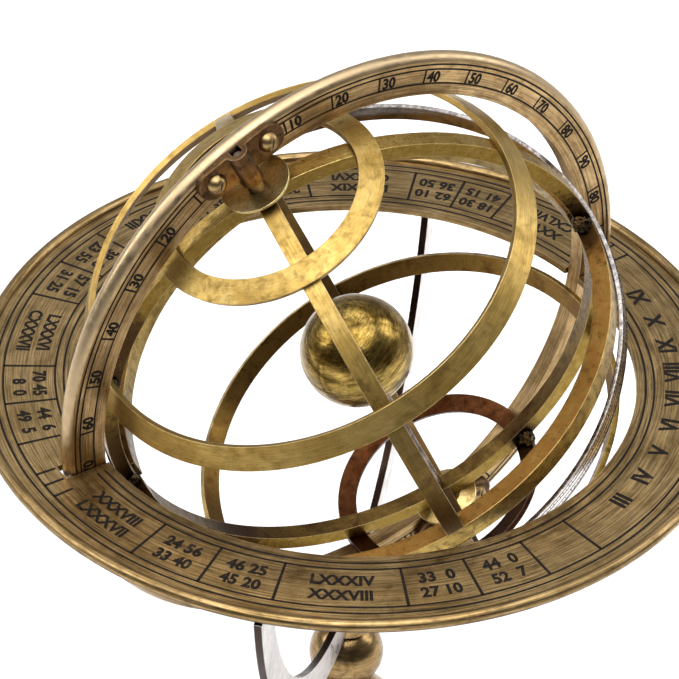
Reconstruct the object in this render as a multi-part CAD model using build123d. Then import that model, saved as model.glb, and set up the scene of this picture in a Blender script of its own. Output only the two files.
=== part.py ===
from build123d import *
import math
import os

# Armillary sphere on a turned stand. Millimetres, +Z up, origin at the centre of the base's underside.
# The meridian ring stands in the XZ plane with its numbered face towards -Y; the north pole leans to -X.

# Heights and the pole
HC = 240.0              # centre of the meridian ring above the floor
POLE_ALT = 64.0         # altitude of the polar axis, degrees
AXIS_Y = -0.6           # the polar axis runs just in front of the meridian's numbered face
SPIN = -13.4            # rest rotation of the sphere about the polar axis, degrees
GAP = 0.3               # air between pieces that move past each other

# Horizon ring
HOR_IN = 94.0
HOR_OUT = 127.0
HOR_TOP = HC - 8.0
HOR_T = 2.4
HOR_BEAD = 2.0          # radius of the rounded rim, which stands proud of the flat
HOR_BEAD_DROP = 0.2     # depth of the rim's middle below the flat

# Meridian ring
MER_IN = 95.1
MER_OUT = 109.0
MER_FACE = 1.7          # y of the numbered face
MER_T = 6.2

# Pole clamps
CLAMP_R = 102.3         # distance of the clamp's middle from the centre
CLAMP_W = 11.4
CLAMP_L = 33.0
CLAMP_T = 2.2
SADDLE_R = 3.6
SADDLE_IN = 93.9
SADDLE_OUT = 108.0
SCREW_X = 10.4
SCREW_HEAD_R = 3.5
SCREW_HEAD_H = 2.9
SCREW_R = 1.25
SCREW_L = 6.0

# Axis
ROD_R = 1.8
ROD_HALF = 106.5
PIN_CLEAR = 0.05
BALL_R = 19.0
DISH_R = 11.4
DISH_RIM = 92.3
DISH_T = 0.9
BUSH_R = 2.9

# Rings of the sphere
RING_OUT = 89.2
EQUATOR_IN = 82.8
COLURE_IN = 84.2
EQUATOR_OUT = 88.9      # a little inside the bands, so the ecliptic passes over it
RING_LAP = 86.0         # depth of the half laps where the great rings cross
COLURE_W = 6.0
EQUATOR_W = 7.0
BAND_IN = 89.0
BAND_T = 2.0
BAND_W_NORTH = 8.1
BAND_W_SOUTH = 6.5
TROPIC_NORTH = 34.0     # latitudes of the small circles
TROPIC_SOUTH = -35.0
POLAR_NORTH = 67.0
POLAR_SOUTH = -67.8
ECLIPTIC_TILT = 13.0
ECLIPTIC_W = 8.8
ECLIPTIC_T = 1.4

# Arms, cradle and column
ARM_IN = 120.5          # radii of an arm's arc
ARM_OUT = 133.5
ARM_BACK = 5.0          # the arc's centre lies this far beyond the stand's axis
ARM_RISE = 9.6          # and this far above the meridian's centre
ARM_T = 2.6
ARM_TENON = 1.2
ARM_TIP = 3.4
ARM_ANGLES = {"arm_back": 43, "arm_front": 223}
HUB_R = 8.4
HUB_TOP = 108.9         # radius of the hub's hollow top, about the meridian's centre
HUB_GROOVE = 109.8
HUB_Z = HC - 124.8
KNOB_R = 13.3
KNOB_Z = HC - 137.2
COLLAR_TOP = HC - 150.2
COLLAR_R = 9.4
COLLAR_H = 4.0
VASE_R = 22.5
VASE_Z = HC - 176.0
VASE_FOOT = 42.0
STUD_R = 3.0
BASE_R = 62.0
BASE_H = 21.0
PAD_R = 57.0
PAD_T = 1.6
NUT_R = 5.5
NUT_H = 4.0

CENTRE = (0, 0, HC)
DIP = math.radians(90 - POLE_ALT)


def disc(radius, low, high):
    return Pos(0, 0, (low + high) / 2) * Cylinder(radius, high - low)


def turned(points):
    """Turn a closed outline of (radius, height) points about the Z axis."""
    outline = Plane.XZ * make_face(Polyline(*points, close=True))
    return revolve(outline, Axis.Z)


def spun(sketch):
    """Turn a sketch drawn in (radius, height) about the Z axis."""
    return revolve(Plane.XZ * sketch, Axis.Z)


def tilted(solid):
    """Take a solid from the sphere's own frame (pole on +Z) to its place at rest."""
    return Pos(0, AXIS_Y, HC) * Rot(0, -math.degrees(DIP), 0) * Rot(0, 0, SPIN) * solid


def on_meridian(solid, south):
    """Take a solid drawn at the north pole (pole on +Z) to one pole of the meridian ring."""
    turn = 180 if south else 0
    return Pos(*CENTRE) * Rot(0, turn - math.degrees(DIP), 0) * solid


# Sphere -------------------------------------------------------------------------------------------

def great_ring(width, inside, outside):
    """Flat ring about the Z axis."""
    return Cylinder(outside, width) - Cylinder(inside, width + 2)


def outer_lap(across, along):
    """Box over the outer half of a great ring's section, reaching outwards along +X."""
    return Pos(RING_LAP + 10, 0, 0) * Box(20, across, along)


def inner_lap(across, along):
    """Box over the inner half of a great ring's section, along +X."""
    return Pos(RING_LAP - 10, 0, 0) * Box(20, across, along)


def rod_hole():
    return Cylinder(ROD_R, 2 * RING_OUT + 10)


def colure(over):
    """Ring through both poles, in the XZ plane; the one that lies over has its inside cut at the poles."""
    ring = Rot(90, 0, 0) * great_ring(COLURE_W, COLURE_IN, RING_OUT)
    for side in (0, 180):
        pole = inner_lap(COLURE_W, COLURE_W) if over else outer_lap(COLURE_W, COLURE_W)
        ring -= Rot(0, -90 + side, 0) * pole
        ring -= Rot(0, 0, side) * outer_lap(COLURE_W + 2, EQUATOR_W)
    return ring - rod_hole()


def colure_equinoctial():
    return colure(False)


def colure_solstitial():
    return Rot(0, 0, 90) * colure(True)


def equator_ring():
    ring = great_ring(EQUATOR_W, EQUATOR_IN, EQUATOR_OUT)
    for turn in range(4):
        ring -= Rot(0, 0, 90 * turn) * inner_lap(COLURE_W, EQUATOR_W + 2)
    return ring


def seated(band):
    """Let a band down a little over the outsides of the two colures."""
    return band - colure_equinoctial() - colure_solstitial()


def zone_band(latitude, width):
    """Thin band wrapped round the sphere at a latitude, let down over the colures."""
    phi = math.radians(latitude)
    out = (math.cos(phi), math.sin(phi))
    along = (-out[1], out[0])
    corners = []
    for depth, side in ((0, -1), (1, -1), (1, 1), (0, 1)):
        radius = BAND_IN + depth * BAND_T
        shift = side * width / 2
        corners.append((radius * out[0] + shift * along[0], radius * out[1] + shift * along[1]))
    return seated(turned(corners))


def ecliptic_band():
    band = Cylinder(BAND_IN + ECLIPTIC_T, ECLIPTIC_W) - Cylinder(BAND_IN, ECLIPTIC_W + 2)
    return seated(Rot(ECLIPTIC_TILT, 0, 0) * band)


def axis_rod():
    rod = Cylinder(ROD_R, 2 * ROD_HALF)
    return chamfer(rod.edges(), 0.4)


def ball():
    return Sphere(BALL_R) - rod_hole()


def dish():
    """Shallow cup threaded on the axis just above the crossing of the colures, hollow side out."""
    low = RING_OUT + 0.1
    depth = DISH_RIM - low - DISH_T
    bowl_r = (DISH_R ** 2 + depth ** 2) / (2 * depth)
    cup = disc(DISH_R, low, DISH_RIM)
    cup -= Pos(0, 0, low + DISH_T + bowl_r) * Sphere(bowl_r)
    skirt = turned([(4.2, low - 1), (DISH_R + 1, low - 1), (DISH_R + 1, DISH_RIM - 0.5)])
    return cup - skirt - rod_hole()


def bushing():
    low = RING_OUT + 0.1 + DISH_T
    sleeve = disc(BUSH_R, low, SADDLE_IN - GAP)
    return sleeve - dish() - rod_hole()


def south(solid):
    return Rot(180, 0, 0) * solid


# Meridian -----------------------------------------------------------------------------------------

def screw_places():
    return [Pos(side * SCREW_X, MER_FACE, CLAMP_R) for side in (-1, 1)]


def clamp_screw():
    """Slotted dome-headed screw pointing along +Y, its head's underside at y = -CLAMP_T."""
    dome_r = (SCREW_HEAD_R ** 2 + SCREW_HEAD_H ** 2) / (2 * SCREW_HEAD_H)
    head = Pos(0, 0, SCREW_HEAD_H - dome_r) * Sphere(dome_r)
    head &= disc(SCREW_HEAD_R, 0, 5)
    head -= Pos(0, 0, SCREW_HEAD_H) * Box(8, 0.8, 1.6)
    shank = disc(SCREW_R, -SCREW_L, 0)
    return Pos(0, -CLAMP_T, 0) * Rot(90, 0, 0) * Rot(0, 0, 55) * (head + shank)


def clamp_screws():
    solids = []
    for pole in (False, True):
        for place in screw_places():
            solids.append(on_meridian(place * clamp_screw(), pole))
    return solids


def saddle(radius, low, high):
    """Half-round channel along Z about the polar axis, with straight sides back to the ring."""
    back = MER_FACE - AXIS_Y
    tube = disc(radius, low, high)
    tube += Pos(0, back / 2, (low + high) / 2) * Box(2 * radius, back, high - low)
    tube -= Pos(0, back + 10, (low + high) / 2) * Box(40, 20, high - low + 2)
    return Pos(0, AXIS_Y, 0) * tube


def clamp_at_north():
    plate = extrude(SlotOverall(CLAMP_L, CLAMP_W), CLAMP_T)
    plate = Pos(0, MER_FACE, CLAMP_R) * Rot(90, 0, 0) * plate
    plate = fillet(plate.faces().sort_by(Axis.Y)[0].edges(), 0.5)
    plate += saddle(SADDLE_R, SADDLE_IN, SADDLE_OUT)
    plate -= saddle(ROD_R + PIN_CLEAR, SADDLE_IN - 1, SADDLE_OUT + 1)
    for place in screw_places():
        plate -= place * Rot(90, 0, 0) * Cylinder(SCREW_R, 20)
    return plate


def meridian_ring():
    """Flat ring about Y with a fully rounded outer edge."""
    middle = MER_FACE + MER_T / 2
    bead = MER_OUT - MER_T / 2
    section = Pos((MER_IN + bead) / 2, 0) * Rectangle(bead - MER_IN, MER_T)
    section += Pos(bead, 0) * Circle(MER_T / 2)
    ring = Rot(-90, 0, 0) * spun(section)
    ring = Pos(0, middle, 0) * ring
    ring = Pos(*CENTRE) * ring
    for pole in (False, True):
        for place in screw_places():
            ring -= on_meridian(place * Rot(90, 0, 0) * Cylinder(SCREW_R, 2 * (SCREW_L - CLAMP_T)), pole)
    return ring


# Horizon, arms and cradle -------------------------------------------------------------------------

def arm_blank():
    """One flat curved arm in the XZ plane, from its tenon in the horizon ring down into the hub."""
    top = HOR_TOP - HOR_T
    arc = Rot(90, 0, 0) * (Cylinder(ARM_OUT, ARM_T) - Cylinder(ARM_IN, ARM_T + 2))
    arc = Pos(-ARM_BACK, 0, HC + ARM_RISE) * arc
    arc &= Pos(ARM_TIP + 75, 0, top - 75) * Box(150, 10, 150)
    return arc + Pos(120, 0, top) * Box(9, ARM_T, 2 * ARM_TENON)


def arm(name):
    return Rot(0, 0, ARM_ANGLES[name]) * arm_blank()


def horizon_ring():
    """Flat ring with a rounded rim, slotted at +X and -X for the meridian and below for the arms."""
    flat_out = HOR_OUT - HOR_BEAD
    section = Pos((HOR_IN + flat_out) / 2, HOR_TOP - HOR_T / 2) * Rectangle(flat_out - HOR_IN, HOR_T)
    section += Pos(flat_out, HOR_TOP - HOR_BEAD_DROP) * Circle(HOR_BEAD)
    ring = spun(section)
    slot_w = MER_T + 2 * GAP
    slot_out = MER_OUT + GAP + 0.1
    for side in (-1, 1):
        ring -= Pos(side * slot_out / 2, MER_FACE + MER_T / 2, HOR_TOP) * Box(slot_out, slot_w, 20)
    for name in ARM_ANGLES:
        ring -= arm(name)
    return ring


def cradle_hub():
    """Round block under the meridian ring: a groove for the ring and two slots for the arms."""
    hub = disc(HUB_R, HUB_Z, HC - 100)
    hub = chamfer(hub.edges().sort_by(Axis.Z)[0], 0.8)
    hub -= Pos(*CENTRE) * Rot(90, 0, 0) * Cylinder(HUB_TOP, 60)
    groove = Rot(90, 0, 0) * Cylinder(HUB_GROOVE, MER_T + 2 * GAP)
    hub -= Pos(0, MER_FACE + MER_T / 2, HC) * groove
    hub -= disc(STUD_R, HUB_Z - 1, HUB_Z + 2.0)
    for name in ARM_ANGLES:
        hub -= arm(name)
    return hub


# Column and base ----------------------------------------------------------------------------------

def lathe_piece(radius, middle, low, high, neck):
    """Ball-shaped piece with short necks, bored for the stud."""
    reach = math.sqrt(radius ** 2 - neck ** 2)
    body = Pos(0, 0, middle) * Sphere(radius)
    body &= disc(radius + 1, middle - reach, middle + reach)
    body += disc(neck, low, high)
    return body - disc(STUD_R, low - 1, high + 1)


def column_knob():
    return lathe_piece(KNOB_R, KNOB_Z, COLLAR_TOP, HUB_Z, 6.0)


def column_collar():
    low = COLLAR_TOP - COLLAR_H
    inner = COLLAR_R - 1.4
    edge = [(COLLAR_R, low + 1), (COLLAR_R, COLLAR_TOP - 1)]
    profile = turned([(0, low), (inner, low)] + edge + [(inner, COLLAR_TOP), (0, COLLAR_TOP)])
    return profile - disc(STUD_R, low - 1, COLLAR_TOP + 1)


def column_vase():
    return lathe_piece(VASE_R, VASE_Z, VASE_FOOT, COLLAR_TOP - COLLAR_H, 8.0)


def column_foot():
    """Flared foot between the vase and the base."""
    low = PAD_T + BASE_H
    profile = [(0, low), (32, low)]
    for turn in range(13):
        angle = math.radians(90 * turn / 12)
        profile.append((8.0 + 24.0 * (1 - math.sin(angle)), low + 3 + 14.4 * (1 - math.cos(angle))))
    profile += [(11, low + 17.4), (11, VASE_FOOT), (0, VASE_FOOT)]
    return turned(profile) - disc(STUD_R, low - 1, VASE_FOOT + 1)


def base_disc():
    """Stepped round base with a rounded lower edge and a recess below for the nut."""
    low = PAD_T
    high = PAD_T + BASE_H
    steps = [(0, low), (BASE_R - 1.5, low), (BASE_R, low + 1.5), (BASE_R, low + 5.5)]
    for turn in range(9):
        angle = math.radians(90 * turn / 8)
        steps.append((BASE_R - 10 + 8.5 * math.cos(angle), low + 6 + 7 * math.sin(angle)))
    steps += [(BASE_R - 13, low + 13), (BASE_R - 13, low + 15)]
    for turn in range(1, 9):
        angle = math.radians(90 * turn / 8)
        steps.append((BASE_R - 13 - 12 * math.sin(angle), low + 21 - 6 * math.cos(angle)))
    steps += [(0, high)]
    base = turned(steps)
    base -= disc(9, low - 1, low + NUT_H + 2)
    return base - disc(STUD_R, low, high + 1)


def stand_stud():
    return disc(STUD_R, PAD_T + 1, HUB_Z + 2.0)


def base_nut():
    low = PAD_T + 2
    nut = Pos(0, 0, low) * extrude(RegularPolygon(NUT_R, 6), NUT_H)
    return nut - disc(STUD_R, low - 1, low + 10)


def felt_pad():
    return disc(PAD_R, 0, PAD_T) - disc(9, -1, PAD_T + 1)


def nodes():
    built = {
        "felt_pad": [felt_pad()],
        "base_disc": [base_disc()],
        "base_nut": [base_nut()],
        "stand_stud": [stand_stud()],
        "column_foot": [column_foot()],
        "column_vase": [column_vase()],
        "column_collar": [column_collar()],
        "column_knob": [column_knob()],
        "cradle_hub": [cradle_hub()],
        "horizon_ring": [horizon_ring()],
        "meridian_ring": [meridian_ring()],
        "north_clamp": [on_meridian(clamp_at_north(), False)],
        "south_clamp": [on_meridian(clamp_at_north(), True)],
        "clamp_screws": clamp_screws(),
        "axis_rod": [tilted(axis_rod())],
        "ball": [tilted(ball())],
        "north_dish": [tilted(dish())],
        "south_dish": [tilted(south(dish()))],
        "pole_bushings": [tilted(bushing()), tilted(south(bushing()))],
        "colure_equinoctial": [tilted(colure_equinoctial())],
        "colure_solstitial": [tilted(colure_solstitial())],
        "equator_ring": [tilted(equator_ring())],
        "polar_circle_north": [tilted(zone_band(POLAR_NORTH, BAND_W_NORTH))],
        "tropic_north": [tilted(zone_band(TROPIC_NORTH, BAND_W_NORTH))],
        "ecliptic_band": [tilted(ecliptic_band())],
        "tropic_south": [tilted(zone_band(TROPIC_SOUTH, BAND_W_SOUTH))],
        "polar_circle_south": [tilted(zone_band(POLAR_SOUTH, BAND_W_SOUTH))],
    }
    for name in ARM_ANGLES:
        built[name] = [arm(name)]
    return built


os.makedirs("parts", exist_ok=True)
for name, solids in nodes().items():
    shape = solids[0] if len(solids) == 1 else Compound(children=solids)
    shape.label = name
    export_step(shape, f"parts/{name}.step")
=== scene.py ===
import math

import bmesh
import bpy
from mathutils import Matrix, Vector, noise


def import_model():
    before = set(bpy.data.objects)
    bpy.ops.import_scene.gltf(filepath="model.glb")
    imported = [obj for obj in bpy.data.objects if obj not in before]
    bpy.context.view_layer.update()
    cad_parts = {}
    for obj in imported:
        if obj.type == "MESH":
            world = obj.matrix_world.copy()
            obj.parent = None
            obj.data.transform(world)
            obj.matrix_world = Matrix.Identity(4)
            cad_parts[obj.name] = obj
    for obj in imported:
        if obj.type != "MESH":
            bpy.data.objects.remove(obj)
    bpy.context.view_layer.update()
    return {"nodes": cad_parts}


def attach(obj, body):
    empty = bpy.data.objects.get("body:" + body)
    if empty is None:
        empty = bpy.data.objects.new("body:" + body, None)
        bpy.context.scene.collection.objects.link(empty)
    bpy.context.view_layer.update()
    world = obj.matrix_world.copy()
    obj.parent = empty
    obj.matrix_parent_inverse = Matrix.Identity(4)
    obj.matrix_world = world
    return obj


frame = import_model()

nodes = frame["nodes"]

# Sizes from the CAD, in metres
CENTRE = Vector((0, 0, 0.240))
POLE_ALT = math.radians(64.0)
AXIS_Y = -0.0006
SPIN = math.radians(-13.4)
HORIZON_TOP = 0.2320
MERIDIAN_FACE = 0.0017
ECLIPTIC_R, ECLIPTIC_W = 0.0904, 0.0088
ECLIPTIC_TILT = math.radians(13.0)

# Axes of the parts, from each part's own to the object's
TO_POLE = Matrix.Rotation(POLE_ALT - math.pi / 2, 4, "Y")
HORIZON_FRAME = Matrix.Translation(CENTRE)
MERIDIAN_FRAME = HORIZON_FRAME @ Matrix.Rotation(math.radians(90), 4, "X")
POLE_FRAME = Matrix.Translation(CENTRE + Vector((0, AXIS_Y, 0))) @ TO_POLE
SPHERE_FRAME = POLE_FRAME @ Matrix.Rotation(SPIN, 4, "Z")
ECLIPTIC_FRAME = SPHERE_FRAME @ Matrix.Rotation(ECLIPTIC_TILT, 4, "X")
EQUINOCTIAL_FRAME = SPHERE_FRAME @ Matrix.Rotation(math.radians(90), 4, "X")
SOLSTITIAL_FRAME = SPHERE_FRAME @ Matrix.Rotation(math.radians(90), 4, "Y")


def add_object(name, data):
    made = bpy.data.objects.new(name, data)
    bpy.context.scene.collection.objects.link(made)
    return made


# Materials ----------------------------------------------------------------------------------------

class Tree:
    """A few short words for building a material's nodes."""

    def __init__(self, name):
        self.material = bpy.data.materials.new(name)
        self.material.use_nodes = True
        self.nodes = self.material.node_tree.nodes
        self.links = self.material.node_tree.links
        self.nodes.clear()

    def add(self, kind, inputs=(), **settings):
        node = self.nodes.new("ShaderNode" + kind)
        for key, value in settings.items():
            setattr(node, key, value)
        for key, value in dict(inputs).items():
            if isinstance(value, bpy.types.NodeSocket):
                self.links.new(value, node.inputs[key])
            else:
                node.inputs[key].default_value = value
        return node

    def math(self, operation, a, b=0.0):
        return self.add("Math", {0: a, 1: b}, operation=operation).outputs[0]

    def vector(self, operation, a, b=(0, 0, 0), out=0):
        return self.add("VectorMath", {0: a, 1: b}, operation=operation).outputs[out]

    def ramp(self, value, low, high, to_low=0.0, to_high=1.0):
        inputs = {0: value, 1: low, 2: high, 3: to_low, 4: to_high}
        return self.add("MapRange", inputs, interpolation_type="SMOOTHSTEP").outputs[0]

    def noise(self, vector, scale, detail=3.0, rough=0.55, distortion=0.0, w=None):
        inputs = {"Vector": vector, "Scale": scale, "Detail": detail, "Roughness": rough,
                  "Distortion": distortion}
        if w is not None:
            inputs["W"] = w
        return self.add("TexNoise", inputs, noise_dimensions="3D" if w is None else "4D").outputs["Fac"]

    def mix(self, factor, a, b, blend="MIX"):
        inputs = {"Factor": factor, 6: a, 7: b}
        return self.add("Mix", inputs, data_type="RGBA", blend_type=blend).outputs[2]

    def bump(self, strength, distance, height, normal=None):
        inputs = {"Strength": strength, "Distance": distance, "Height": height}
        if normal is not None:
            inputs["Normal"] = normal
        return self.add("Bump", inputs).outputs[0]

    def local(self, place):
        """Object coordinates in a part's own axes."""
        inverse = place.inverted()
        inputs = {"Vector": self.add("TexCoord").outputs["Object"], "Location": inverse.to_translation(),
                  "Rotation": inverse.to_euler("XYZ")}
        return self.add("Mapping", inputs, vector_type="POINT").outputs[0]

    def polar(self, point):
        """Unit radial direction, radius and height of a point about its own Z axis."""
        split = self.add("SeparateXYZ", {0: point}).outputs
        flat = self.add("CombineXYZ", {0: split[0], 1: split[1]}).outputs[0]
        return self.vector("NORMALIZE", flat), self.vector("LENGTH", flat, out="Value"), split[2]

    def finish(self, base, roughness, others):
        """Shade the material and return it; others holds the shader's other sockets."""
        shader = self.add("BsdfPrincipled", {"Base Color": base, "Roughness": roughness, **others})
        self.add("OutputMaterial", {"Surface": shader.outputs[0]})
        return self.material


def colour(values):
    return (*values, 1.0)


def brushed(tree, unit, radius, height, around, fine):
    """Strokes that run round the axis, long along the circle and fine across it."""
    spread = tree.add("VectorMath", {0: unit, "Scale": around}, operation="SCALE").outputs[0]
    lift = tree.add("CombineXYZ", {2: tree.math("MULTIPLY", radius, fine)}).outputs[0]
    return tree.noise(tree.vector("ADD", spread, lift), 1.0, 4.0, 0.6, w=tree.math("MULTIPLY", height, fine))


def mottled(tree, tones, clouds, blots, specks, strokes, patina, grain):
    """Cloudy metal in two tones, with dark blots and specks and the strokes over it."""
    dark, mid, light = tones
    base = tree.mix(tree.ramp(clouds, 0.36, 0.66), colour(mid), colour(light))
    base = tree.mix(tree.math("MULTIPLY", tree.ramp(blots, 0.46, 0.70), patina), base, colour(dark))
    streak = tree.ramp(strokes, 0.30, 0.72, 1.0 - 0.5 * grain, 1.0 + 0.35 * grain)
    streak = tree.add("CombineColor", {0: streak, 1: streak, 2: streak}).outputs[0]
    base = tree.mix(1.0, base, streak, "MULTIPLY")
    speck = tree.math("MULTIPLY", tree.ramp(specks, 0.68, 0.78), 0.7)
    return tree.mix(speck, base, colour([v * 0.25 for v in dark]))


def tinted(tree, base, place, point, unit, clouds, inside=None, side=None, rim=None, under=None,
           across=None, south=None):
    """Tint some of a ring's faces.

    inside colours the faces turned to the axis and rim those turned outwards, side the flat faces
    square to the axis and under those turned down along it, across the faces that are not square to
    the circles round it, and south all that lies south of the north tropic."""
    cloudy = tree.ramp(clouds, 0.25, 0.75, 0.55, 1.0)
    normal = tree.add("TexCoord").outputs["Normal"]
    turn = place.inverted().to_euler("XYZ")
    turned = tree.add("Mapping", {"Vector": normal, "Rotation": turn}, vector_type="VECTOR").outputs[0]
    facing = tree.vector("DOT_PRODUCT", turned, unit, "Value")
    along = tree.add("SeparateXYZ", {0: turned}).outputs[2]
    # Darker inner faces: oxide on the rings, a painted shade on the ecliptic band
    if inside:
        base = tree.mix(tree.math("MULTIPLY", tree.ramp(facing, -0.35, -0.85), cloudy), base, colour(inside))
    if side:
        # Mottle of the side tint: real rust on the equator, painted shade and a painted dark reflection on
        # the ecliptic band's sides
        rust_and_shade = tree.ramp(tree.noise(point, 420.0, 7.0, 0.8, 0.2), 0.30, 0.72, 0.45, 1.0)
        flat = tree.ramp(tree.math("ABSOLUTE", along), 0.5, 0.9)
        base = tree.mix(tree.math("MULTIPLY", flat, rust_and_shade), base, colour(side))
    # Lighter outward faces: a painted highlight
    if rim:
        base = tree.mix(tree.ramp(facing, 0.1, 0.7), base, colour(rim))
    # Painted shade on the faces turned down
    if under:
        base = tree.mix(tree.ramp(along, -0.05, -0.5), base, colour(under))
    # Darker faces not square to the circles: partly patina, partly painted shade
    if across:
        square = tree.vector("DOT_PRODUCT", turned, tree.vector("CROSS_PRODUCT", unit, (0, 0, 1)), "Value")
        base = tree.mix(tree.ramp(tree.math("ABSOLUTE", square), 0.8, 0.3), base, colour(across))
    if south:
        toward_pole = tree.add("SeparateXYZ", {0: tree.local(SPHERE_FRAME)}).outputs[2]
        below = tree.math("MULTIPLY", tree.ramp(toward_pole, 0.058, 0.030), cloudy)
        base = tree.mix(below, base, colour(south))
    return base


def scorched(tree, base, blots, places):
    """Ragged dark patches on the sphere, each round a centre and within a reach."""
    for centre, reach in places:
        away = tree.vector("DISTANCE", tree.local(SPHERE_FRAME), centre, "Value")
        ragged = tree.math("MULTIPLY", away, tree.ramp(blots, 0.2, 0.8, 0.6, 1.5))
        base = tree.mix(tree.ramp(ragged, reach, 0.35 * reach, 0.0, 0.92), base, colour(BURNT))
    return base


def aged(tree, base, dark, light, blots, corner, wear_and_highlight):
    """Edges lightened by wear and by a painted highlight, and painted shade where faces meet or lie close
    together.
    """
    flatness = tree.vector("DOT_PRODUCT", corner, tree.add("NewGeometry").outputs["Normal"], "Value")
    edge = tree.ramp(flatness, 0.995, 0.90)
    # Lighter colour along the edges: partly wear, partly a painted highlight
    worn = tree.math("MULTIPLY", edge, tree.ramp(blots, 0.75, 0.35, 0.25, wear_and_highlight))
    base = tree.mix(worn, base, colour([min(v * 1.5 + 0.1, 0.95) for v in light]))
    # Painted shade: darker where ambient occlusion finds faces close together
    shade = tree.add("AmbientOcclusion", {"Distance": 0.004}, samples=6).outputs["AO"]
    occlusion_shade = tree.math("MULTIPLY", tree.ramp(shade, 0.75, 0.15), 0.75)
    return tree.mix(occlusion_shade, base, colour([v * 0.16 for v in dark]))


def brass(name, dark, mid, light, place=Matrix.Identity(4), rough=(0.22, 0.42), grain=0.5, around=14.0,
          fine=2600.0, patina=0.5, bump=0.00006, mottle=70.0, wear_and_highlight=0.6, eased=True, burnt=(), **tints):
    """Antique brass: brushed or turned grain round an axis, mottled tone, dark specks, edges lightened by
    wear and by a painted highlight, and painted shade in crevices.

    eased rounds the look of the edges, burnt lists places darkened by heat, and tints are tinted's."""
    tree = Tree(name)
    point = tree.local(place)
    unit, radius, height = tree.polar(point)
    strokes = brushed(tree, unit, radius, height, around, fine)
    clouds = tree.noise(point, mottle, 4.0, 0.6, 0.6)
    blots = tree.noise(point, mottle * 4.3, 5.0, 0.65, 0.3)
    specks = tree.noise(point, 2100.0, 2.0, 0.5)
    corner = tree.add("Bevel", {"Radius": 0.00045}, samples=6).outputs[0]

    base = mottled(tree, (dark, mid, light), clouds, blots, specks, strokes, patina, grain)
    base = tinted(tree, base, place, point, unit, clouds, **tints)
    base = scorched(tree, base, blots, burnt)
    base = aged(tree, base, dark, light, blots, corner, wear_and_highlight)

    roughness = tree.ramp(blots, 0.3, 0.7, rough[0], rough[1])
    roughness = tree.math("ADD", roughness, tree.math("MULTIPLY", strokes, 0.10 * grain))
    heights = tree.math("ADD", tree.math("MULTIPLY", strokes, grain), tree.math("MULTIPLY", specks, 0.35))
    heights = tree.math("ADD", heights, tree.math("MULTIPLY", blots, 1.2))
    relief = tree.bump(0.5, bump, heights, corner if eased else None)
    return tree.finish(base, roughness, {"Metallic": 1.0, "Normal": relief})


def engraving():
    """Black wax in the engraved lines and figures, worn and dusty in places."""
    tree = Tree("engraving_black")
    point = tree.add("TexCoord").outputs["Object"]
    dust = tree.noise(point, 900.0, 4.0, 0.6)
    fade = tree.noise(point, 160.0, 3.0, 0.6)
    dusty = tree.ramp(dust, 0.45, 0.75, 0.0, 0.5)
    base = tree.mix(dusty, (0.006, 0.004, 0.003, 1), (0.022, 0.014, 0.008, 1))
    base = tree.mix(tree.ramp(fade, 0.60, 0.75, 0.0, 0.25), base, (0.08, 0.05, 0.025, 1))
    relief = tree.bump(0.4, 0.00003, dust)
    return tree.finish(base, tree.ramp(dust, 0.3, 0.7, 0.45, 0.75),
                       {"Normal": relief, "Specular IOR Level": 0.12})


def felt():
    tree = Tree("felt_green")
    point = tree.add("TexCoord").outputs["Object"]
    fibre = tree.noise(point, 2600.0, 4.0, 0.7, 1.5)
    patch = tree.noise(point, 120.0, 3.0)
    base = tree.mix(fibre, (0.008, 0.022, 0.012, 1), (0.03, 0.075, 0.04, 1))
    base = tree.mix(tree.ramp(patch, 0.4, 0.7, 0.0, 0.4), base, (0.02, 0.04, 0.025, 1))
    relief = tree.bump(0.8, 0.0002, fibre)
    return tree.finish(base, tree.ramp(fibre, 0.2, 0.8, 0.85, 1.0), {"Normal": relief, "Sheen Weight": 0.3})


def paint(material, *names):
    for name in names:
        slots = nodes[name].data.materials
        slots.clear()
        slots.append(material)


# Dark, middle and light tones of each metal
TAN = ((0.080, 0.045, 0.015), (0.250, 0.163, 0.065), (0.350, 0.238, 0.106))
BROWN = ((0.07, 0.038, 0.014), (0.25, 0.160, 0.066), (0.35, 0.235, 0.105))
AMBER = ((0.10, 0.055, 0.018), (0.34, 0.220, 0.095), (0.46, 0.315, 0.150))
GOLD = ((0.11, 0.065, 0.014), (0.33, 0.212, 0.056), (0.43, 0.300, 0.098))
OLIVE = ((0.060, 0.034, 0.008), (0.25, 0.160, 0.036), (0.40, 0.275, 0.075))
BRONZE = ((0.020, 0.009, 0.004), (0.095, 0.050, 0.020), (0.19, 0.105, 0.046))
SILVER = ((0.30, 0.26, 0.23), (0.62, 0.56, 0.53), (0.72, 0.67, 0.64))
PEWTER = ((0.38, 0.35, 0.33), (0.56, 0.52, 0.495), (0.62, 0.585, 0.56))
STEEL = ((0.05, 0.035, 0.025), (0.16, 0.12, 0.09), (0.30, 0.25, 0.21))
DARK_RED = ((0.010, 0.003, 0.001), (0.036, 0.010, 0.003), (0.075, 0.028, 0.010))
BALL_GOLD = ((0.030, 0.015, 0.003), (0.22, 0.138, 0.028), (0.42, 0.285, 0.080))
DISH_GOLD = ((0.20, 0.12, 0.04), (0.55, 0.39, 0.14), (0.74, 0.56, 0.26))
DARK_SOLDER = ((0.004, 0.002, 0.001), (0.010, 0.006, 0.004), (0.07, 0.04, 0.012))

RUSSET = (0.115, 0.055, 0.013)
RUST = (0.24, 0.105, 0.024)
# Painted shade for the ecliptic band's inner face
SHADE_BLACK = (0.010, 0.007, 0.006)
BURNT = (0.040, 0.018, 0.006)

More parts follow.
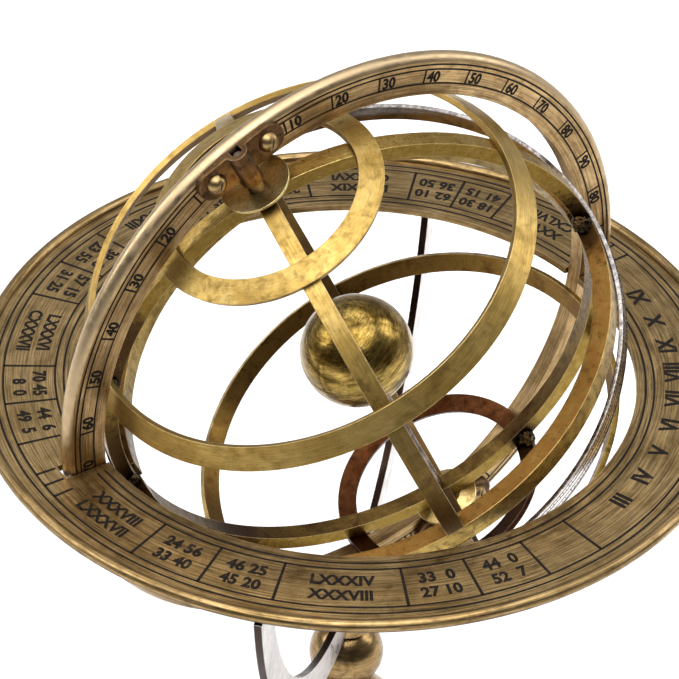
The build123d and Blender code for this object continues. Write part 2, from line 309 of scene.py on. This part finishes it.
# Centre in the sphere's own axes, and size, of each lump of solder and each patch darkened by heat
SOLDERED = ((Vector((0.0850, -0.0052, 0.0047)), 0.0030), (Vector((0.0352, -0.0048, -0.0800)), 0.0028),
            (Vector((-0.0722, -0.0042, 0.0490)), 0.0019), (Vector((-0.0850, -0.0046, 0.0045)), 0.0018))
SCORCHED = ((SOLDERED[0][0], 0.020), (SOLDERED[1][0], 0.011), (SOLDERED[2][0], 0.012),
            (Vector((-0.085, -0.003, 0.010)), 0.045), (Vector((-0.062, -0.003, 0.062)), 0.018),
            (Vector((-0.070, 0.0, -0.052)), 0.016))

# The dark tint on the ring's downward faces is painted shade
paint(brass("brass_horizon", *TAN, place=HORIZON_FRAME, grain=1.25, around=7.0, fine=2400.0,
            patina=0.3, under=(0.05, 0.022, 0.018), eased=False),
      "horizon_ring")
# The lighter rim colour is a painted highlight on the polished outer faces
paint(brass("brass_meridian", *AMBER, place=MERIDIAN_FRAME, grain=1.1, around=8.0, patina=0.3,
            rim=(0.42, 0.31, 0.18)),
      "meridian_ring")
paint(brass("brass_polar_north", *GOLD, place=SPHERE_FRAME, grain=0.4, inside=RUSSET, patina=0.5,
            rough=(0.34, 0.54)),
      "polar_circle_north")
paint(brass("brass_tropic_north", *GOLD, place=SPHERE_FRAME, grain=0.5, inside=RUSSET, patina=0.3,
            mottle=45.0, rough=(0.32, 0.50)),
      "tropic_north")
paint(brass("brass_tropic_south", *OLIVE, place=SPHERE_FRAME, grain=0.4, inside=RUSSET, patina=1.0,
            mottle=42.0),
      "tropic_south")
paint(brass("brass_polar_south", *DARK_RED, place=SPHERE_FRAME, grain=0.4, patina=0.5, burnt=SCORCHED),
      "polar_circle_south")
# The black inner face and near-black sides are painted shade and a painted dark reflection
paint(brass("brass_ecliptic", *SILVER, place=ECLIPTIC_FRAME, grain=0.5, inside=SHADE_BLACK,
            side=(0.035, 0.030, 0.028), rough=(0.10, 0.22), patina=0.3, wear_and_highlight=0.12),
      "ecliptic_band")
paint(brass("brass_equator", *OLIVE, place=SPHERE_FRAME, grain=0.5, patina=0.8, side=RUST, burnt=SCORCHED),
      "equator_ring")
paint(brass("brass_colure_1", *GOLD, place=EQUINOCTIAL_FRAME, grain=0.5, patina=0.6, mottle=110.0,
            inside=(0.060, 0.028, 0.008), side=(0.20, 0.125, 0.018), bump=0.00020, burnt=SCORCHED),
      "colure_equinoctial")
paint(brass("brass_colure_2", *GOLD, place=SOLSTITIAL_FRAME, grain=0.5, patina=0.4, inside=RUSSET,
            side=RUSSET, rough=(0.30, 0.48), south=(0.085, 0.050, 0.020)),
      "colure_solstitial")
paint(brass("brass_ball", *BALL_GOLD, place=SPHERE_FRAME, grain=1.2, around=5.0, fine=1500.0,
            rough=(0.10, 0.24), bump=0.00003, mottle=45.0),
      "ball")
paint(brass("brass_dish", *DISH_GOLD, place=SPHERE_FRAME, grain=0.7, rough=(0.24, 0.36), patina=0.4,
            mottle=150.0),
      "north_dish", "south_dish")
paint(brass("brass_clamp", *BRONZE, place=POLE_FRAME, patina=0.7, rough=(0.32, 0.50)),
      "north_clamp", "south_clamp")
paint(brass("brass_screw", *TAN, place=POLE_FRAME, grain=0.2, rough=(0.24, 0.4)), "clamp_screws")
# The dark colour on the arms' edge faces is partly brown patina and partly painted shade
paint(brass("silver_arm", *PEWTER, grain=0.35, around=60.0, fine=300.0, patina=0.1, mottle=25.0,
            across=(0.035, 0.020, 0.014)),
      "arm_back", "arm_front")
paint(brass("brass_column", *BROWN, grain=0.7, around=3.0, fine=1800.0, rough=(0.14, 0.3)),
      "column_foot", "column_vase", "column_collar", "column_knob", "cradle_hub", "base_disc")
paint(brass("steel_turned", *STEEL, place=POLE_FRAME, grain=0.6),
      "axis_rod", "pole_bushings", "stand_stud", "base_nut")
paint(felt(), "felt_pad")


# Bead ---------------------------------------------------------------------------------------------

BEAD_R, BEAD_SECTION_R = 0.1250, 0.00205
BEAD_Z = HORIZON_TOP - 0.0002


def horizon_bead(material):
    """Fine round bead over the horizon ring's rim, a hair larger than the CAD's so its facets don't show."""
    bpy.ops.mesh.primitive_torus_add(major_segments=720, minor_segments=40, major_radius=BEAD_R,
                                     minor_radius=BEAD_SECTION_R, location=(0, 0, 0))
    bead = bpy.context.object
    bead.name = "horizon_bead"
    bead.data.transform(Matrix.Translation((0, 0, BEAD_Z)))
    bead.data.polygons.foreach_set("use_smooth", [True] * len(bead.data.polygons))
    bead.data.materials.append(material)
    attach(bead, "stand")


horizon_bead(nodes["horizon_ring"].data.materials[0])


# Solder -------------------------------------------------------------------------------------------

def solder(number, centre, size, material):
    """Rough dark lump of solder in the corner between two rings of the sphere."""
    work = bmesh.new()
    bmesh.ops.create_icosphere(work, subdivisions=5, radius=1.0)
    seed = centre * 900
    for vertex in work.verts:
        way = vertex.co.normalized()
        lump = noise.noise(way * 1.6 + seed) * 0.45 + noise.noise(way * 5.0 + seed) * 0.14
        vertex.co = SPHERE_FRAME @ (centre + way * size * (1.0 + lump))
    mesh = bpy.data.meshes.new(f"solder_{number}")
    work.to_mesh(mesh)
    work.free()
    mesh.polygons.foreach_set("use_smooth", [True] * len(mesh.polygons))
    mesh.materials.append(material)
    shape = add_object(mesh.name, mesh)
    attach(shape, "sphere")


dark_solder = brass("solder_dark", *DARK_SOLDER, place=SPHERE_FRAME, rough=(0.15, 0.35), grain=0.2,
                    mottle=300.0, wear_and_highlight=0.0)
for number, (centre, size) in enumerate(SOLDERED, 1):
    solder(number, centre, size, dark_solder)


# Engraved lines and figures -----------------------------------------------------------------------

SINK, PROUD = 0.00006, 0.00004      # depth below the face and height above it
CAP = 0.73                          # height of a capital in the font's own units
SQUEEZE = 0.95                      # width of the figures as a share of the font's
FULL_TURN = 2 * math.pi
STEP = 0.02                         # longest turn of one facet of a line


def glyphs(text):
    """Bold figures as a mesh about one unit tall, centred on the origin."""
    curve = bpy.data.curves.new("glyphs", "FONT")
    curve.body = text
    curve.offset = 0.042
    curve.extrude = 0.1
    curve.resolution_u = 3
    curve.align_x = "CENTER"
    holder = bpy.data.objects.new("glyphs", curve)
    mesh = bpy.data.meshes.new_from_object(holder)
    bpy.data.objects.remove(holder)
    return mesh


class Inlay:
    """Black-filled engraving on one face, gathered as thin closed plates set into it.

    surface takes a turn round the axis, a place across the face and a height above it."""

    def __init__(self, surface):
        self.surface = surface
        self.points = []
        self.faces = []
        self.words = {}

    def slab(self, start, end, low, high):
        """Plate between two turns and two places across; a whole turn closes on itself."""
        count = max(1, math.ceil(abs(end - start) / STEP))
        closed = abs(end - start) > FULL_TURN - 0.001
        columns = count if closed else count + 1
        first = len(self.points)
        for i in range(columns):
            turn = start + (end - start) * i / count
            for across, height in ((low, -SINK), (high, -SINK), (high, PROUD), (low, PROUD)):
                self.points.append(self.surface(turn, across, height))
        for i in range(count):
            a = first + 4 * i
            b = first + 4 * ((i + 1) % columns)
            for k in range(4):
                m = (k + 1) % 4
                self.faces.append((a + k, a + m, b + m, b + k))
        if not closed:
            last = first + 4 * count
            self.faces.append((first + 3, first + 2, first + 1, first))
            self.faces.append((last, last + 1, last + 2, last + 3))

    def line(self, across, width, start=0, end=FULL_TURN):
        self.slab(start, end, across - width / 2, across + width / 2)

    def tick(self, turn, low, high, width, radius=None):
        """Short line across the face; radius is that of the face where high is not."""
        half = width / 2 / (radius or high)
        self.slab(turn - half, turn + half, low, high)

    def figures(self, text, turn, radius, height, reading, up):
        """Figures centred at a turn and radius; reading and up are +1 or -1."""
        if text not in self.words:
            self.words[text] = glyphs(text)
        mesh = self.words[text]
        scale = height / CAP
        first = len(self.points)
        for vertex in mesh.vertices:
            x, y, z = vertex.co
            across = radius + up * (y - CAP / 2) * scale
            bend = turn + reading * x * scale * SQUEEZE / radius
            self.points.append(self.surface(bend, across, PROUD if z > 0 else -SINK))
        for face in mesh.polygons:
            self.faces.append([first + i for i in face.vertices])

    def build(self, name, body, material):
        mesh = bpy.data.meshes.new(name)
        mesh.from_pydata(self.points, [], self.faces)
        work = bmesh.new()
        work.from_mesh(mesh)
        bmesh.ops.remove_doubles(work, verts=work.verts, dist=0.0000005)
        bmesh.ops.recalc_face_normals(work, faces=work.faces)
        work.to_mesh(mesh)
        work.free()
        mesh.materials.append(material)
        shape = add_object(name, mesh)
        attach(shape, body)
        for word in self.words.values():
            bpy.data.meshes.remove(word)


# Horizon ring: radii of its lines, and heights and radii of its figures
HORIZON_LINES = (0.0971, 0.0999, 0.1171, 0.1198)
HORIZON_LINE_W, CELL_LINE_W = 0.0007, 0.0010
SLOT_END = 0.1103               # outer end of the slots for the meridian ring
NEAR_SLOT = 0.09                # sine of the turn within which a cell's line is cut by a slot
BETWEEN_SLOTS = ((4.6, 175.4), (180.9, 359.1))
FIGURE_H, FIGURE_ROWS = 0.0044, (0.1050, 0.1116)
HOUR_H, HOUR_R = 0.0060, 0.1064

# Kinds and widths (degrees) of the horizon's cells, counter-clockwise from just before the -X slot
CELLS_START = -178
CELLS = (("long", 18), ("pair", 12), ("pair", 12),
         ("long", 20.5), ("pair", 11.5), ("pair", 11.5), ("blank", 10),
         ("hours", 84), ("blank", 3.5), ("blank", 2.5),
         ("long", 20), ("pair", 9), ("pair", 9),
         ("long", 20), ("pair", 11), ("pair", 11),
         ("long", 20), ("pair", 10), ("pair", 10),
         ("long", 20), ("pair", 10), ("pair", 10.5), ("blank", 8), ("blank", 3), ("blank", 3))
PAIRS = (("24 56", "33 40"), ("46 25", "45 20"), ("33  0", "27 10"), ("44  0", "52  7"), ("18 30", "41 15"),
         ("62 10", "36 50"), ("29 45", "54 20"), ("12 35", "47 30"), ("38  5", "23 55"), ("57 15", "31 25"),
         ("70 45", "  8  0"), ("44  6", "49  5"))
LONGS = (("XXXVIII", "LXXXVII"), ("LXXXIV", "XXXVIII"), ("XXVIII", "CXLVIII"), ("LXXXIX", "CXXXVI"),
         ("XXXVII", "LXXXIII"), ("LXXXVI", "CXXXVII"))
HOURS = ("III", "IV", "V", "VI", "VII", "VIII", "IX", "X", "XI")

# Meridian ring: radii of its lines and ticks, height of its figures, and their turn from the tick
MERIDIAN_LINES = (0.0991, 0.1041, 0.1058)
MERIDIAN_LINE_W, DEGREE_LINE_W = 0.0006, 0.0007
DEGREE_H, DEGREE_TURN = 0.0038, 0.036

# Ecliptic band: places of its lines and ends of its ticks, from the band's south edge
ECLIPTIC_LINES = (0.0009, 0.0016, 0.0034, 0.0056, 0.0074)
ECLIPTIC_LINE_W, ECLIPTIC_TICK_W = 0.00022, 0.00016
DEGREE_TOP, FINE_LONG, FINE_SHORT = 0.0026, 0.0016, 0.0009


def engrave_horizon(material):
    def surface(turn, radius, height):
        return (radius * math.cos(turn), radius * math.sin(turn), HORIZON_TOP + height)

    inlay = Inlay(surface)
    for radius in HORIZON_LINES:
        if radius > SLOT_END:
            inlay.line(radius, HORIZON_LINE_W)
        else:
            for start, end in BETWEEN_SLOTS:
                inlay.line(radius, HORIZON_LINE_W, math.radians(start), math.radians(end))
    inner, outer = HORIZON_LINES[1], HORIZON_LINES[2]
    turn = math.radians(CELLS_START)
    pairs, longs = iter(PAIRS), iter(LONGS)
    for kind, width in CELLS:
        width = math.radians(width)
        inlay.tick(turn, SLOT_END if abs(math.sin(turn)) < NEAR_SLOT else inner, outer, CELL_LINE_W)
        if kind in ("pair", "long"):
            rows = next(pairs if kind == "pair" else longs)
            for text, radius in zip(rows, FIGURE_ROWS):
                inlay.figures(text, turn + width / 2, radius, FIGURE_H, 1, -1)
        if kind == "hours":
            for k, hour in enumerate(HOURS):
                inlay.figures(hour, turn + width * (k + 1.5) / (len(HOURS) + 2), HOUR_R, HOUR_H, 1, -1)
        turn += width
    inlay.build("horizon_engraving", "stand", material)


def engrave_meridian(material):
    def surface(turn, radius, height):
        point = Vector((radius * math.cos(turn), radius * math.sin(turn), height - MERIDIAN_FACE))
        return MERIDIAN_FRAME @ point

    inlay = Inlay(surface)
    for radius in MERIDIAN_LINES:
        inlay.line(radius, MERIDIAN_LINE_W)
    inner, outer = MERIDIAN_LINES[:2]
    pole = math.radians(180) - POLE_ALT
    for k in range(36):
        turn = pole - math.radians(10 * k)
        inlay.tick(turn, inner, outer, DEGREE_LINE_W)
        degrees = 90 - abs(90 - 10 * (k % 18))
        if degrees:
            inlay.figures(str(degrees), turn - DEGREE_TURN, (inner + outer) / 2, DEGREE_H, -1, 1)
    inlay.build("meridian_engraving", "meridian", material)


def engrave_ecliptic(material):
    def surface(turn, across, height):
        out = ECLIPTIC_R + height
        point = Vector((out * math.cos(turn), out * math.sin(turn), across - ECLIPTIC_W / 2))
        return ECLIPTIC_FRAME @ point

    inlay = Inlay(surface)
    for across in ECLIPTIC_LINES:
        inlay.line(across, ECLIPTIC_LINE_W)
    foot, five_top, fine_foot, sign_top = ECLIPTIC_LINES[1:]
    for k in range(360):
        turn = math.radians(k)
        top = sign_top if k % 30 == 0 else five_top if k % 5 == 0 else DEGREE_TOP
        inlay.tick(turn, foot, top, ECLIPTIC_TICK_W, ECLIPTIC_R)
        if k % 30 not in (0, 1, 2, 27, 28, 29):
            fine_top = fine_foot + (FINE_LONG if k % 3 else FINE_SHORT)
            inlay.tick(turn, fine_foot, fine_top, ECLIPTIC_TICK_W, ECLIPTIC_R)
    inlay.build("ecliptic_engraving", "sphere", material)


wax = engraving()
engrave_horizon(wax)
engrave_meridian(wax)
engrave_ecliptic(wax)


# Floor, light and camera --------------------------------------------------------------------------

def floor():
    bpy.ops.mesh.primitive_plane_add(size=8.0, location=(0, 0, -0.0002))
    plane = bpy.context.object
    plane.name = "floor"
    tree = Tree("floor_white")
    tone = tree.noise(tree.add("TexCoord").outputs["Object"], 3.0, 2.0)
    base = tree.mix(tone, (0.86, 0.86, 0.86, 1), (0.90, 0.90, 0.905, 1))
    glow = {"Emission Color": (1, 1, 1, 1), "Emission Strength": 0.12}
    plane.data.materials.append(tree.finish(base, 0.8, glow))


def direction(azimuth, elevation):
    """Unit vector; azimuth 0 is in front (-Y) and grows towards +X, both in degrees."""
    a, e = math.radians(azimuth), math.radians(elevation)
    return Vector((math.sin(a) * math.cos(e), -math.cos(a) * math.cos(e), math.sin(e)))


def softbox(name, azimuth, elevation, distance, size, power):
    """Area light aimed at the sphere."""
    data = bpy.data.lights.new(name, "AREA")
    data.shape = "RECTANGLE"
    data.size, data.size_y = size
    data.energy = power
    lamp = add_object(name, data)
    out = direction(azimuth, elevation)
    lamp.location = CENTRE + out * distance
    lamp.rotation_mode = "QUATERNION"
    lamp.rotation_quaternion = out.to_track_quat("Z", "Y")


def world():
    """Even grey room, darker on the camera's side and brighter behind the sphere."""
    sky = bpy.data.worlds.new("studio")
    bpy.context.scene.world = sky
    sky.use_nodes = True
    nodes, links = sky.node_tree.nodes, sky.node_tree.links
    background = nodes["Background"]
    background.inputs["Color"].default_value = (0.96, 0.97, 1.0, 1)
    ray = nodes.new("ShaderNodeTexCoord")
    facing = nodes.new("ShaderNodeVectorMath")
    facing.operation = "DOT_PRODUCT"
    facing.inputs[1].default_value = (0.55, 0.80, 0.25)
    level = nodes.new("ShaderNodeMapRange")
    level.interpolation_type = "SMOOTHSTEP"
    for index, value in enumerate((-0.7, 0.8, 0.10, 0.62), 1):
        level.inputs[index].default_value = value
    links.new(ray.outputs["Generated"], facing.inputs[0])
    links.new(facing.outputs["Value"], level.inputs[0])
    links.new(level.outputs[0], background.inputs["Strength"])


def camera():
    """Close view from the front left, a little above the horizon ring."""
    target = CENTRE + Vector((-0.0034, 0.0047, 0.0025))
    distance = 1.0326
    roll = math.radians(1.554)
    back = direction(-34.29, 37.92)
    right = (-back).cross(Vector((0, 0, 1))).normalized()
    up = right.cross(-back)
    x = math.cos(roll) * right + math.sin(roll) * up
    y = -math.sin(roll) * right + math.cos(roll) * up
    data = bpy.data.cameras.new("camera")
    data.lens = 164.57
    data.sensor_width = 36.0
    data.clip_end = 50.0
    seen = add_object("camera", data)
    turn = Matrix((x, y, back)).transposed().to_4x4()
    seen.matrix_world = Matrix.Translation(target + back * distance) @ turn
    bpy.context.scene.camera = seen


floor()
world()
softbox("key", -45, 66, 1.5, (1.5, 1.1), 15)
softbox("right", 75, 28, 1.6, (0.8, 1.0), 8)
softbox("left", -125, 34, 1.6, (0.9, 1.1), 12)
softbox("top", 30, 87, 2.4, (3.2, 3.2), 70)
camera()
bpy.context.scene.view_settings.view_transform = "Standard"
